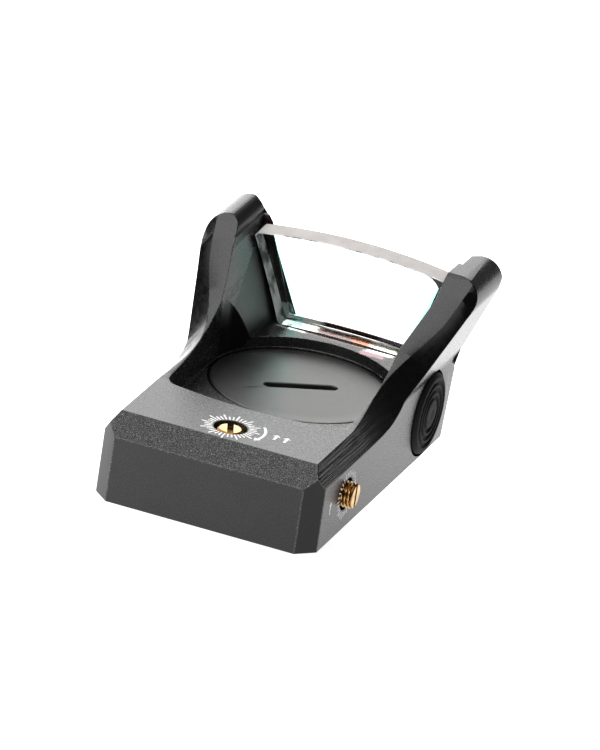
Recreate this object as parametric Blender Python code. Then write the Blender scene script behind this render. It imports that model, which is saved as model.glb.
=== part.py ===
"""Miniature open reflex sight: a machined housing with two flared posts that hold a tilted lens.

The frame: +X to the user's right, +Y from the user to the target, +Z up. The origin is the middle of the
underside. Lengths are written in millimetres, and Y is written as the distance ahead of the rear face;
solid() turns both into the part's own frame in metres.
"""

import math

import bmesh
import bpy
from mathutils import Vector

MM = 0.001
GAP = 0.3  # clearance between pieces that touch on the real object
WIDE_SIDES = 48  # sides of a large round piece
FINE_SIDES = 20  # sides of a screw or a small hole
FAR = 40.0  # how far a cutter reaches past the housing

# Base block
LENGTH = 53.0
HALF_WIDTH = 15.0
DECK_Z = 11.5
REAR_TOP_CHAMFER = (2.8, 2.6)  # along Y, along Z
REAR_CORNER_CHAMFER = (2.2, 2.3)  # along X, along Y
FRONT_LEAN = 1.0  # how far the front face leans back between the deck's height and the top
FRONT_LEAN_Z = 9.2
FRONT_CORNER = ((15.0, 47.8, 0.0), (15.0, 49.4, 9.2))  # a line in the plane that cuts the base's front corner
FRONT_CORNER_RUN = (-0.65, 2.0)
FRONT_POST = ((15.0, 50.3, 11.0), (18.6, 51.4, 21.0))  # the same for the post's front corner
FRONT_POST_RUN = (-1.2, 2.0)
FRONT_NOTCH = ((15.0, 49.6, 9.5), (15.0, 47.6, 10.5), (15.3, 50.2, 12.1))  # a groove between base and post

# Posts
FLARE = 0.375  # outward run for each unit of height above FLARE_Z
FLARE_Z = 11.0
HORN_RADIUS = 2.75
HORN_Z = 21.5
TOP_Z = HORN_Z + HORN_RADIUS
HORN_X = HALF_WIDTH + FLARE * (HORN_Z - FLARE_Z) - HORN_RADIUS * math.hypot(1.0, FLARE)

# The upper line of each fin and post: at each distance from the rear face, the height of its inner edge, the
# inner edge of the chamfer band along it, and where that band meets the outer side. A smooth curve joins them.
FIN_STATIONS = (
    (-4.0, 11.5, (13.3, 11.5), (15.0, 8.7)),
    (15.0, 11.5, (13.3, 11.5), (15.0, 8.7)),
    (20.0, 11.8, (12.9, 11.8), (15.0, 8.75)),
    (24.0, 12.4, (12.5, 12.35), (15.0, 8.95)),
    (27.5, 13.4, (12.4, 13.3), (15.0, 9.7)),
    (30.0, 14.8, (12.8, 14.4), (15.1, 11.0)),
    (32.0, 16.2, (13.5, 15.5), (15.7, 12.7)),
    (34.0, 17.6, (14.3, 16.6), (16.4, 14.5)),
    (37.8, 20.6, (16.1, 19.2), (17.7, 17.9)),
    (40.0, 22.5, (16.9, 21.3), (18.4, 20.0)),
    (42.0, 23.8, (17.4, 22.9), (18.75, 21.5)),
    (43.4, 24.3, (17.8, 24.1), (19.4, 22.9)),
    (43.8, 25.5, (18.0, 25.4), (19.6, 24.6)),
)

FIN_STEP = 1.0

# Pocket between the fins
POCKET_FLOOR_Z = 8.2
POCKET_HALF_WIDTH = 12.2
POCKET_REAR_Y = 13.7
POCKET_REAR_BOW = 1.1
POCKET_CORNER = 2.2

# Battery, its well and its cap
CELL_Y = 33.0
CELL_RADIUS = 10.0
CELL_HEIGHT = 3.2
CELL_Z = 2.5
WELL_RADIUS = 10.5
THREAD_RADIUS = 11.3
THREAD_Z = 4.6
CAP_BORE_RADIUS = 12.1
CAP_RADIUS = 11.75
CAP_TOP_Z = 8.1
CAP_RIM_Z = 7.0
CAP_SEAT_Z = 6.4
CAP_BOTTOM_Z = 5.0
CAP_HOLLOW_RADIUS = 10.35
CAP_THREADS = (5.55, 5.95, 6.35, 6.75)  # heights of the thread's grooves
O_RING = (11.52, 6.7, 0.24)  # radius, height, thickness of the cord as a radius
COIN_SLOT = (9.6, 1.5, 0.9)  # length, width, depth
COIN_SLOT_TURN = math.radians(31.5)

# Lens
LENS_TILT = math.radians(4.7)
LENS_RADIUS = 80.0
LENS_THICKNESS = 3.1
LENS_BOTTOM_Z = 9.0
LENS_TOP_Z = 21.4
LENS_ARCH = 0.6
LENS_HALF_BOTTOM = 9.3
LENS_HALF_TOP = 13.5
LENS_REAR_Y = 48.55  # rear surface on the lens's own axis
LENS_AXIS_Z = 15.2
SEAL_WIDTH = 0.1  # as a share of the lens's half-width

# Opening that the lens stands in, and the window ahead of it
CHANNEL_FLOOR = (9.6, 9.9)  # height, half-width
CHANNEL_TOP = (21.6, 13.9)
SEAT_REAR_Y = 46.9
LIP_Y = 52.15  # rear face of the lips at the channel's floor; they lean back with the lens
LIP_LEAN = 0.11
LIP_BEVEL = 1.3
WINDOW_FLOOR = (9.1, 7.6)
WINDOW_SHOULDER = (21.5, 12.7)
WINDOW_TOP = (24.0, 14.5)

# Elevation and windage adjusters
ELEVATION_Y = 6.7
ELEVATION_TOP_Z = 11.35
WINDAGE_Y = 11.1
WINDAGE_Z = 5.0
WINDAGE_END_X = 16.25
ADJUSTER_RADIUS = 1.85
ADJUSTER_HOLE = 2.15
ADJUSTER_PITCH = 0.45
GROOVE_DEPTH = 0.16
ELEVATION_SLOT_HALF = 0.38
ELEVATION_SLOT_TURN = math.radians(20.0)
WINDAGE_SLOT_HALF = 0.3

# Button and its switch
BUTTON_Y = 40.5
BUTTON_Z = 5.9
BUTTON_RADIUS = 5.45
BUTTON_PROUD = 0.6
BUTTON_REAR_X = 14.1
PLUNGER_HOLE = 1.3
SWITCH_BAY = ((10.9, 38.8, 1.1), (13.3, 43.6, 8.0))

# Underside
PLATE_THICKNESS = 1.0
PLATE_HALF_WIDTH = 12.0
PLATE_Y = (2.4, 49.8)
PLATE_CORNER = 1.6
GASKET_WIDTH = 0.8
RECESS_Z = 1.4
BASE_SCREWS = ((-9.6, 5.0), (9.6, 5.0), (-9.6, 47.4), (9.6, 47.4))
SCREW_HOLE = 1.05
SCREW_TIP_Z = 4.6
SCREW_SIDES = 16
MOUNT_HOLES = ((-10.2, 17.0), (10.2, 17.0))
MOUNT_HOLE = 1.5
MOUNT_HOLE_TOP_Z = 6.2

# Mechanism chamber behind the pocket
CHAMBER_HALF_WIDTH = 7.2
CHAMBER_Y = (3.4, 12.9)
CHAMBER_TOP_Z = 10.0
BOARD_Z = 1.45
BOARD_THICKNESS = 0.55


# ---------------------------------------------------------------- materials


def material(name, colour, roughness, metallic=0.0, transmission=0.0):
    made = bpy.data.materials.new(name)
    made.use_nodes = True
    shader = made.node_tree.nodes["Principled BSDF"]
    shader.inputs["Base Color"].default_value = (*colour, 1.0)
    shader.inputs["Roughness"].default_value = roughness
    shader.inputs["Metallic"].default_value = metallic
    shader.inputs["Transmission Weight"].default_value = transmission
    return made


# ---------------------------------------------------------------- objects


def to_frame(point):
    """Millimetres, with Y from the rear face, to metres in the part's frame."""
    x, y, z = point
    return Vector((x * MM, (y - LENGTH / 2) * MM, z * MM))


def solid(name, points, faces, paint=None, origin=None, smooth=None):
    """One object from points in millimetres; origin is the point its location names."""
    at = to_frame(origin) if origin else Vector((0.0, 0.0, 0.0))
    mesh = bpy.data.meshes.new(name)
    mesh.from_pydata([to_frame(p) - at for p in points], [], faces)
    work = bmesh.new()
    work.from_mesh(mesh)
    bmesh.ops.recalc_face_normals(work, faces=work.faces)
    work.to_mesh(mesh)
    work.free()
    if smooth:
        mesh.shade_smooth()
        mesh.set_sharp_from_angle(angle=math.radians(smooth))
    made = bpy.data.objects.new(name, mesh)
    made.location = at
    bpy.context.collection.objects.link(made)
    if paint:
        mesh.materials.append(paint)
    return made


def cut(target, name, shape):
    """Takes a shape of points and faces away from the target."""
    cutter = solid(name, *shape)
    cutter.hide_render = True
    cutter.display_type = "WIRE"
    cutter.location = cutter.location - target.location
    cutter.parent = target
    step = target.modifiers.new(name, "BOOLEAN")
    step.operation = "DIFFERENCE"
    step.solver = "EXACT"
    step.object = cutter


# ---------------------------------------------------------------- outlines


def spread(low, high, count):
    """Evenly spaced values from low to high, count steps apart."""
    return [low + (high - low) * i / count for i in range(count + 1)]


def arc(centre, radius, start, end, count):
    """Points along an arc between two angles in degrees."""
    angles = [math.radians(a) for a in spread(start, end, count)]
    return [(centre[0] + radius * math.cos(a), centre[1] + radius * math.sin(a)) for a in angles]


def mirrored(half):
    """The points of an outline's right half, closed by their mirror image on the left."""
    return half + [(-x, z) for x, z in reversed(half)]


def rounded_rectangle(half_x, y_low, y_high, corner):
    outline = arc((half_x - corner, y_high - corner), corner, 0, 90, 4)
    outline += arc((corner - half_x, y_high - corner), corner, 90, 180, 4)
    outline += arc((corner - half_x, y_low + corner), corner, 180, 270, 4)
    outline += arc((half_x - corner, y_low + corner), corner, 270, 360, 4)
    return outline


# ---------------------------------------------------------------- shapes, as points and faces


def loft(rings, warped=False):
    """A closed body through rings of equal length, capped at both ends.

    Warped sides, whose corners don't lie in one plane, are split into triangles.
    """
    count = len(rings[0])
    points = [p for ring in rings for p in ring]
    faces = [list(range(count))]
    for k in range(len(rings) - 1):
        near, far = k * count, (k + 1) * count
        for i in range(count):
            j = (i + 1) % count
            if warped:
                faces.append([near + i, near + j, far + j])
                faces.append([near + i, far + j, far + i])
            else:
                faces.append([near + i, near + j, far + j, far + i])
    last = (len(rings) - 1) * count
    faces.append([last + i for i in reversed(range(count))])
    return points, faces


def looped(rings):
    """A closed body through rings of equal length, where the last ring joins the first."""
    count = len(rings[0])
    points = [p for ring in rings for p in ring]
    faces = []
    for k in range(len(rings)):
        near, far = k * count, (k + 1) % len(rings) * count
        for i in range(count):
            j = (i + 1) % count
            faces.append([near + i, near + j, far + j, far + i])
    return points, faces


def prism_z(outline, low, high):
    """An (x, y) outline raised from low to high."""
    return loft([[(x, y, z) for x, y in outline] for z in (low, high)])


def prism_y(outline, rear, front):
    """An (x, z) outline run from rear to front."""
    return loft([[(x, y, z) for x, z in outline] for y in (rear, front)])


def prism_x(outline, left, right):
    """A (y, z) outline run from left to right."""
    return loft([[(x, y, z) for y, z in outline] for x in (left, right)])


def block(low, high):
    outline = [(low[0], low[1]), (high[0], low[1]), (high[0], high[1]), (low[0], high[1])]
    return prism_z(outline, low[2], high[2])


def turned_rings(profile, centre, axis, sides):
    """The rings of a (radius, distance along the axis) profile turned about the axis through centre."""
    rings = []
    for radius, along in profile:
        ring = []
        for i in range(sides):
            a = 2 * math.pi * i / sides
            c, s = radius * math.cos(a), radius * math.sin(a)
            if axis == "z":
                ring.append((centre[0] + c, centre[1] + s, centre[2] + along))
            else:
                ring.append((centre[0] + along, centre[1] + c, centre[2] + s))
        rings.append(ring)
    return rings


def turned(profile, centre, axis="z", sides=WIDE_SIDES):
    """A body turned from an open profile, with flat ends."""
    return loft(turned_rings(profile, centre, axis, sides))


def turned_ring(profile, centre, axis="z", sides=WIDE_SIDES):
    """A body turned from a closed profile that stays clear of the axis."""
    return looped(turned_rings(profile, centre, axis, sides))


def cylinder(centre, radius, low, high, axis="z", sides=FINE_SIDES):
    return turned([(radius, low), (radius, high)], centre, axis, sides)


def wire(path, radius, sides=5):
    """A round wire along a path that never runs straight up."""
    rings = []
    for i, p in enumerate(path):
        before = Vector(path[max(i - 1, 0)])
        after = Vector(path[min(i + 1, len(path) - 1)])
        along = (after - before).normalized()
        across = along.cross(Vector((0.0, 0.0, 1.0))).normalized()
        over = across.cross(along).normalized()
        ring = []
        for k in range(sides):
            a = 2 * math.pi * k / sides
            ring.append(tuple(Vector(p) + across * radius * math.cos(a) + over * radius * math.sin(a)))
        rings.append(ring)
    return loft(rings)


def coil(centre, radius, low, high, turns, thickness):
    """A helical spring about the Z direction through centre (x, y)."""
    path = []
    for t in spread(0.0, 1.0, int(turns * 10)):
        a = 2 * math.pi * turns * t
        x, y = centre[0] + radius * math.cos(a), centre[1] + radius * math.sin(a)
        path.append((x, y, low + (high - low) * t))
    return wire(path, thickness)


# ---------------------------------------------------------------- housing


def front_outline():
    """The housing seen from the rear: straight sides, flared posts, round horns."""
    horn = arc((HORN_X, HORN_Z), HORN_RADIUS, -math.degrees(math.atan(FLARE)), 90, 12)
    return mirrored([(HALF_WIDTH, 0.0), (HALF_WIDTH, FLARE_Z)] + horn)


def smooth_stations():
    """FIN_STATIONS with more of them read from the cubic curve through each value, about FIN_STEP apart."""
    rows = [(y, inner_z, *band, *side) for y, inner_z, band, side in FIN_STATIONS]
    smooth = [rows[0]]
    for before, start, end, after in zip(rows, rows[1:], rows[2:], rows[3:]):
        span = end[0] - start[0]
        count = max(1, round(span / FIN_STEP))
        for t in spread(0.0, 1.0, count)[:-1]:
            row = []
            for a, p, q, b in zip(before, start, end, after):
                leave = (q - a) / (end[0] - before[0]) * span
                arrive = (b - p) / (after[0] - start[0]) * span
                row.append(p * (2 * t ** 3 - 3 * t ** 2 + 1) + leave * (t ** 3 - 2 * t ** 2 + t)
                           + q * (3 * t ** 2 - 2 * t ** 3) + arrive * (t ** 3 - t ** 2))
            smooth.append(row)
    return smooth + rows[-2:]


def fin_ring(station):
    """The cross-section, at one station, of everything that is machined away above the deck and fins."""
    y, inner_z, band_x, band_z, side_x, side_z = station
    inner_x = POCKET_HALF_WIDTH - 1.5
    slope = (side_z - band_z) / (side_x - band_x)
    far = (FAR, side_z + slope * (FAR - side_x))
    ring = mirrored([(inner_x, inner_z), (band_x, band_z), (side_x, side_z), far, (FAR, FAR)])
    return [(x, y, z) for x, z in ring]


def pocket_outline():
    """The pocket in plan: a slightly bowed rear edge with round corners, and a round front."""
    side_x = POCKET_HALF_WIDTH - POCKET_CORNER
    corner_y = POCKET_REAR_Y + POCKET_REAR_BOW + POCKET_CORNER
    outline = arc((0.0, CELL_Y), POCKET_HALF_WIDTH, 0, 180, 30)
    outline += arc((-side_x, corner_y), POCKET_CORNER, 180, 270, 4)
    for x in spread(-side_x, side_x, 8)[1:-1]:
        outline.append((x, POCKET_REAR_Y + POCKET_REAR_BOW * (x / side_x) ** 2))
    outline += arc((side_x, corner_y), POCKET_CORNER, 270, 360, 4)
    return outline


def channel_outline(depth=0.0):
    """The flared opening between the posts, as an (x, z) outline; depth lowers its floor."""
    z0, w0 = CHANNEL_FLOOR
    z1, w1 = CHANNEL_TOP
    slope = (w1 - w0) / (z1 - z0)
    return mirrored([(w0 - slope * depth, z0 - depth), (w1, z1), (w1 + 0.3, FAR)])


def window_outline(grow=0.0):
    """The window that the front lips leave open, as an (x, z) outline."""
    top_z, top_x = WINDOW_TOP
    return mirrored([(WINDOW_FLOOR[1] + grow, WINDOW_FLOOR[0] - grow / 2),
                     (WINDOW_SHOULDER[1] + grow, WINDOW_SHOULDER[0]),
                     (top_x + grow, top_z),
                     (top_x + grow + 0.3, FAR)])


def upright(outline, y):
    return [(x, y, z) for x, z in outline]


def leaning(outline, y):
    """An (x, z) outline stood on the plane of the lips' rear faces, moved to y at the channel's floor."""
    return [(x, y - LIP_LEAN * (z - CHANNEL_FLOOR[0]), z) for x, z in outline]


def along_line(line, z):
    """The point of a leaning line at a height."""
    (ax, ay, az), (bx, by, bz) = line
    t = (z - az) / (bz - az)
    return (ax + (bx - ax) * t, ay + (by - ay) * t, z)


def corner_cut(edge, run, side):
    """A cutter outside the planes through the points of a corner's edge and a level run (x, y)."""
    rings = []
    for x, y, z in edge:
        behind = (x - 3 * run[0], y - 3 * run[1])
        ahead = (x + 6 * run[0], y + 6 * run[1])
        rings.append([(side * behind[0], behind[1], z), (side * ahead[0], ahead[1], z),
                      (side * (ahead[0] + FAR), ahead[1], z), (side * (behind[0] + FAR), behind[1], z)])
    return loft(rings)


def cut_outside(housing):
    """The fins and posts, the rear chamfers and the front."""
    cut(housing, "cut_fins", loft([fin_ring(s) for s in smooth_stations()], warped=True))

    run, rise = REAR_TOP_CHAMFER
    low, high = (-run, DECK_Z - 2 * rise), (2 * run, DECK_Z + rise)
    cut(housing, "cut_rear_top", prism_x([low, high, (low[0], high[1])], -FAR, FAR))

    wide, deep = REAR_CORNER_CHAMFER
    for side, tag in ((-1, "left"), (1, "right")):
        corner = [(side * (HALF_WIDTH - 2 * wide), -deep), (side * (HALF_WIDTH + wide), 2 * deep),
                  (side * (HALF_WIDTH + wide), -deep)]
        cut(housing, f"cut_rear_corner_{tag}", prism_z(corner, -1.0, FAR))
        base = [along_line(FRONT_CORNER, z) for z in (-1.0, FRONT_LEAN_Z)]
        post = [along_line(FRONT_POST, z) for z in (FRONT_LEAN_Z, FAR)]
        cut(housing, f"cut_front_corner_{tag}", corner_cut(base, FRONT_CORNER_RUN, side))
        cut(housing, f"cut_front_post_{tag}", corner_cut(post, FRONT_POST_RUN, side))
        cut(housing, f"cut_front_notch_{tag}", corner_cut(FRONT_NOTCH, FRONT_CORNER_RUN, side))

    lean = FRONT_LEAN / (TOP_Z - DECK_Z)
    front = [(LENGTH, FRONT_LEAN_Z), (LENGTH + FAR, FRONT_LEAN_Z), (LENGTH + FAR, FAR),
             (LENGTH - lean * (FAR - FRONT_LEAN_Z), FAR)]
    cut(housing, "cut_front_face", prism_x(front, -FAR, FAR))


def cut_pocket(housing):
    """The open pocket, the channel between the posts and the seat and window of the lens."""
    cut(housing, "cut_pocket", prism_z(pocket_outline(), POCKET_FLOOR_Z, FAR))
    seat = channel_outline(CHANNEL_FLOOR[0] - LENS_BOTTOM_Z + GAP)
    cut(housing, "cut_channel", prism_y(channel_outline(), CELL_Y - 4.0, SEAT_REAR_Y + 1.0))
    cut(housing, "cut_lens_seat", loft([upright(seat, SEAT_REAR_Y), leaning(seat, LIP_Y)]))
    cut(housing, "cut_window", prism_y(window_outline(), SEAT_REAR_Y + 0.5, LENGTH + 2.0))
    cut(housing, "cut_window_bevel", loft([leaning(window_outline(-0.2), LIP_Y + 0.15),
                                           leaning(window_outline(LIP_BEVEL), LENGTH + 0.6)]))


def cut_battery_well(housing):
    steps = (("cap_bore", CAP_BORE_RADIUS, CAP_SEAT_Z, POCKET_FLOOR_Z + 0.5),
             ("cap_thread", THREAD_RADIUS, THREAD_Z, CAP_SEAT_Z + 0.5),
             ("well", WELL_RADIUS, RECESS_Z - 0.2, CAP_SEAT_Z))
    for name, radius, low, high in steps:
        cut(housing, f"cut_{name}", cylinder((0.0, CELL_Y, 0.0), radius, low, high, sides=WIDE_SIDES))


def cut_inside(housing):
    """The recess for the base plate, the mechanism's chamber and the board's channel, from below."""
    recess = rounded_rectangle(PLATE_HALF_WIDTH + GAP, PLATE_Y[0] - GAP, PLATE_Y[1] + GAP, PLATE_CORNER + GAP)
    below = RECESS_Z - GAP
    rear, front = CHAMBER_Y
    cut(housing, "cut_recess", prism_z(recess, -1.0, RECESS_Z))
    half = CHAMBER_HALF_WIDTH
    cut(housing, "cut_chamber", block((-half, rear, below), (half, front, CHAMBER_TOP_Z)))
    cut(housing, "cut_board", block((-half, front - 1.0, below),
                                    (half, CELL_Y, BOARD_Z + BOARD_THICKNESS + GAP / 2)))
    cut(housing, "cut_emitter_window", block((-2.6, front - 1.0, 8.5), (2.6, POCKET_REAR_Y + 2.0, 10.3)))
    cut(housing, "cut_switch_bay", block(*SWITCH_BAY))


def cut_holes(housing):
    elevation = (0.0, ELEVATION_Y, 0.0)
    windage = (0.0, WINDAGE_Y, WINDAGE_Z)
    button = (0.0, BUTTON_Y, BUTTON_Z)
    outside = HALF_WIDTH + 3.0
    below = RECESS_Z - 0.2
    cut(housing, "cut_elevation", cylinder(elevation, ADJUSTER_HOLE, CHAMBER_TOP_Z - 1.0, DECK_Z + 2.0))
    cut(housing, "cut_windage", cylinder(windage, ADJUSTER_HOLE, CHAMBER_HALF_WIDTH - 1.0, outside, "x"))
    seat_x = BUTTON_REAR_X - 0.6
    cut(housing, "cut_button", cylinder(button, BUTTON_RADIUS + GAP, seat_x, outside, "x", WIDE_SIDES))
    cut(housing, "cut_plunger", cylinder(button, PLUNGER_HOLE, seat_x - 0.9, seat_x + 1.1, "x"))
    for i, (x, y) in enumerate(BASE_SCREWS, 1):
        hole = cylinder((x, y, 0.0), SCREW_HOLE, below, SCREW_TIP_Z, sides=SCREW_SIDES)
        cut(housing, f"cut_screw_{i}", hole)
    for i, (x, y) in enumerate(MOUNT_HOLES, 1):
        cut(housing, f"cut_mount_{i}", cylinder((x, y, 0.0), MOUNT_HOLE, below, MOUNT_HOLE_TOP_Z))


def make_housing(paint):
    housing = solid("housing", *prism_y(front_outline(), 0.0, LENGTH), paint)
    cut_outside(housing)
    cut_pocket(housing)
    cut_battery_well(housing)
    cut_inside(housing)
    cut_holes(housing)


# ---------------------------------------------------------------- lens


def lens_point(across, height, forward):
    """A point of the lens: across -1..1, height 0..1, forward from the rear surface along the lens axis."""
    x = across * (LENS_HALF_BOTTOM + (LENS_HALF_TOP - LENS_HALF_BOTTOM) * height)
    arch = LENS_ARCH * (1.0 - across * across) * height
    up = (LENS_BOTTOM_Z - LENS_AXIS_Z) + (LENS_TOP_Z - LENS_BOTTOM_Z) * height + arch
    depth = forward - (x * x + up * up) / (2 * LENS_RADIUS)
    y = LENS_REAR_Y + depth * math.cos(LENS_TILT) - up * math.sin(LENS_TILT)
    z = LENS_AXIS_Z + up * math.cos(LENS_TILT) + depth * math.sin(LENS_TILT)
    return (x, y, z)


def make_lens(paint):
    """A slab between two spherical surfaces, built on a grid of across and height values."""
    across, heights = spread(-1, 1, 12), spread(0, 1, 8)
    columns, rows = len(across), len(heights)
    front = columns * rows
    points = [lens_point(u, v, f) for f in (0.0, LENS_THICKNESS) for v in heights for u in across]
    faces = []
    for j in range(rows - 1):
        for i in range(columns - 1):
            a = j * columns + i
            b, c, d = a + 1, a + columns + 1, a + columns
            faces.append([a, d, c, b])
            faces.append([front + a, front + b, front + c, front + d])
    rim = list(range(columns))
    rim += [j * columns + columns - 1 for j in range(1, rows)]
    rim += [(rows - 1) * columns + i for i in reversed(range(columns - 1))]
    rim += [j * columns for j in reversed(range(1, rows - 1))]
    for k, a in enumerate(rim):
        b = rim[(k + 1) % len(rim)]
        faces.append([a, b, front + b, front + a])
    solid("reflex_lens", points, faces, paint, smooth=30)


def make_lens_seal(paint):
    """A thin bead ahead of the lens's two side edges and its foot."""
    rows = spread(0.06, 0.95, 12)
    paths = []
    for reach, foot in ((0.99, 0.01), (1.0 - SEAL_WIDTH, 0.055)):
        path = [(-reach, v) for v in reversed(rows)]
        path += [(u, foot) for u in spread(-reach, reach, 12)]
        path += [(reach, v) for v in rows]
        paths.append(path)
    near, far = LENS_THICKNESS + 0.12, LENS_THICKNESS + 0.3
    rings = []
    for outer, inner in zip(*paths):
        rings.append([lens_point(*outer, near), lens_point(*outer, far),
                      lens_point(*inner, far), lens_point(*inner, near)])
    solid("lens_seal", *loft(rings), paint)


# ---------------------------------------------------------------- battery


def coin_slot_outline():
    """The cap's slot in plan, with round ends, turned to where the closed cap leaves it."""
    long, wide, _ = COIN_SLOT
    end_x = (long - wide) / 2
    outline = arc((end_x, 0.0), wide / 2, -90, 90, 8) + arc((-end_x, 0.0), wide / 2, 90, 270, 8)
    c, s = math.cos(COIN_SLOT_TURN), math.sin(COIN_SLOT_TURN)
    return [(x * c - y * s, CELL_Y + x * s + y * c) for x, y in outline]


def make_cap(metal, rubber, spring_metal):
    centre = (0.0, CELL_Y, 0.0)
    hinge_point = (0.0, CELL_Y, CAP_TOP_Z)
    neck = THREAD_RADIUS - GAP
    root = neck - 0.3
    profile = [(CAP_HOLLOW_RADIUS, CAP_SEAT_Z - 0.15), (CAP_HOLLOW_RADIUS, CAP_BOTTOM_Z),
               (neck - 0.25, CAP_BOTTOM_Z), (neck, CAP_BOTTOM_Z + 0.25)]
    for z in CAP_THREADS:
        profile += [(neck, z - 0.1), (root, z + 0.1)]
    profile += [(root, CAP_RIM_Z), (CAP_RADIUS, CAP_RIM_Z), (CAP_RADIUS, CAP_TOP_Z - 0.25),
                (CAP_RADIUS - 0.25, CAP_TOP_Z)]
    cap = solid("battery_cap", *turned(profile, centre), metal, origin=hinge_point, smooth=30)
    cut(cap, "cut_coin_slot", prism_z(coin_slot_outline(), CAP_TOP_Z - COIN_SLOT[2], CAP_TOP_Z + 1.0))

    radius, z, cord = O_RING
    ring = arc((radius, z), cord, 0, 360, 8)[:-1]
    solid("cap_o_ring", *turned_ring(ring, centre), rubber, origin=(0.0, CELL_Y, z), smooth=60)

    washer = [(6.2, 5.78), (9.6, 6.0), (9.6, 6.12), (6.2, 5.9)]
    solid("cap_contact", *turned_ring(washer, centre), spring_metal, origin=hinge_point, smooth=30)


def make_cell(cell_paint, spring_metal):
    """The coin cell, with its narrower can below, and the cross-shaped leaf it stands on."""
    top = CELL_Z + CELL_HEIGHT
    profile = [(8.6, CELL_Z), (8.8, CELL_Z + 0.25), (CELL_RADIUS - 0.15, CELL_Z + 0.4),
               (CELL_RADIUS, CELL_Z + 0.6), (CELL_RADIUS, top - 0.2), (CELL_RADIUS - 0.2, top)]
    solid("coin_cell", *turned(profile, (0.0, CELL_Y, 0.0)), cell_paint, smooth=30)

    half_width, side_reach, end_reach, neck = 2.4, 6.0, 7.5, 3.0
    quarter = [(half_width, -end_reach), (half_width, -neck), (side_reach, 0.0), (half_width, neck),
               (half_width, end_reach)]
    leaf = [(x, CELL_Y + y) for x, y in mirrored(quarter)]
    solid("cell_contact", *prism_z(leaf, 2.12, 2.32), spring_metal)


# ---------------------------------------------------------------- electronics


def make_electronics(board_green, chip_black, steel, window_glass):
    half = CHAMBER_HALF_WIDTH - GAP
    rear = CHAMBER_Y[0] + GAP
    top = BOARD_Z + BOARD_THICKNESS
    radius = WELL_RADIUS - GAP
    start = -math.degrees(math.acos(half / radius))
    board = [(-half, rear), (half, rear)] + arc((0.0, CELL_Y), radius, start, 180 - start, 24)
    solid("circuit_board", *prism_z(board, BOARD_Z, top), board_green)
    solid("control_chip", *block((-2.0, 15.0, top + 0.03), (2.0, 18.6, top + 0.13)), chip_black)
    solid("switch_board", *block((11.1, 39.1, RECESS_Z + 0.1), (11.5, 43.3, 7.7)), board_green)
    solid("tact_switch", *block((11.65, 39.2, BUTTON_Z - 1.7), (12.6, 42.0, BUTTON_Z + 1.7)), steel)
    solid("emitter_window", *block((-2.3, 13.1, 8.8), (2.3, 13.6, 10.0)), window_glass)


# ---------------------------------------------------------------- adjusters


def threaded_profile(low, high):
    """The side of an adjuster screw as rings of small V grooves, one for each pitch."""
    root = ADJUSTER_RADIUS - GROOVE_DEPTH
    count = int((high - low) / ADJUSTER_PITCH)
    step = (high - low) / count
    profile = []
    for i in range(count):
        z = low + i * step
        profile += [(root, z), (ADJUSTER_RADIUS, z + 0.35 * step), (ADJUSTER_RADIUS, z + 0.6 * step)]
    return profile + [(root, high)]


def drive_slot_outline():
    """The elevation screw's slot in plan, turned to where the screw stands at rest."""
    half_width, half_length = ELEVATION_SLOT_HALF, 3.0
    c, s = math.cos(ELEVATION_SLOT_TURN), math.sin(ELEVATION_SLOT_TURN)
    corners = [(-half_width, -half_length), (half_width, -half_length), (half_width, half_length),
               (-half_width, half_length)]
    return [(x * c - y * s, ELEVATION_Y + x * s + y * c) for x, y in corners]


def make_elevation(brass, steel):
    """The screw in the deck, the carriage that it lifts, its clip, and the spring under the carriage."""
    axis = (0.0, ELEVATION_Y, 0.0)
    top = ELEVATION_TOP_Z
    hinge_point = (0.0, ELEVATION_Y, top)
    profile = [(0.85, 4.1), (0.95, 4.2), (0.95, 8.9)] + threaded_profile(9.0, top - 0.15)
    profile += [(ADJUSTER_RADIUS - 0.3, top)]
    screw = solid("elevation_screw", *turned(profile, axis, sides=FINE_SIDES), brass,
                  origin=hinge_point, smooth=40)
    cut(screw, "cut_elevation_slot", prism_z(drive_slot_outline(), top - 0.75, top + 1.0))

    clip = [(1.1, 4.4), (1.75, 4.4), (1.75, 4.7), (1.1, 4.7)]
    solid("elevation_clip", *turned_ring(clip, axis, sides=FINE_SIDES), steel, origin=hinge_point)

    half_width, tongue_half = 5.4, 3.0
    body_y, body_z = (4.3, 9.0), (5.0, 7.6)
    shelf_y, shelf_z = 12.5, (2.65, 3.05)
    side_view = [(body_y[0], body_z[0]), (body_y[1] - 0.1, body_z[0]), (body_y[1] - 0.1, shelf_z[0]),
                 (shelf_y, shelf_z[0]), (shelf_y, shelf_z[1]), (body_y[1], shelf_z[1]),
                 (body_y[1], body_z[1]), (body_y[0], body_z[1])]
    slider = solid("elevation_slider", *prism_x(side_view, -half_width, half_width), brass,
                   origin=(0.0, ELEVATION_Y, body_z[0]))
    cut(slider, "cut_journal", cylinder(axis, 1.15, body_z[0] - 2.0, body_z[1] + 1.4))
    for side, tag in ((-1, "left"), (1, "right")):
        inner, outer = sorted((side * tongue_half, side * (half_width + 3.4)))
        cut(slider, f"cut_shelf_{tag}", block((inner, body_y[1] + 0.05, 2.0), (outer, shelf_y + 0.5, 4.0)))

    spring = coil((-3.7, ELEVATION_Y), 1.25, 2.3, 4.75, 3.5, 0.16)
    solid("elevation_spring", *spring, steel, smooth=60)


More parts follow.
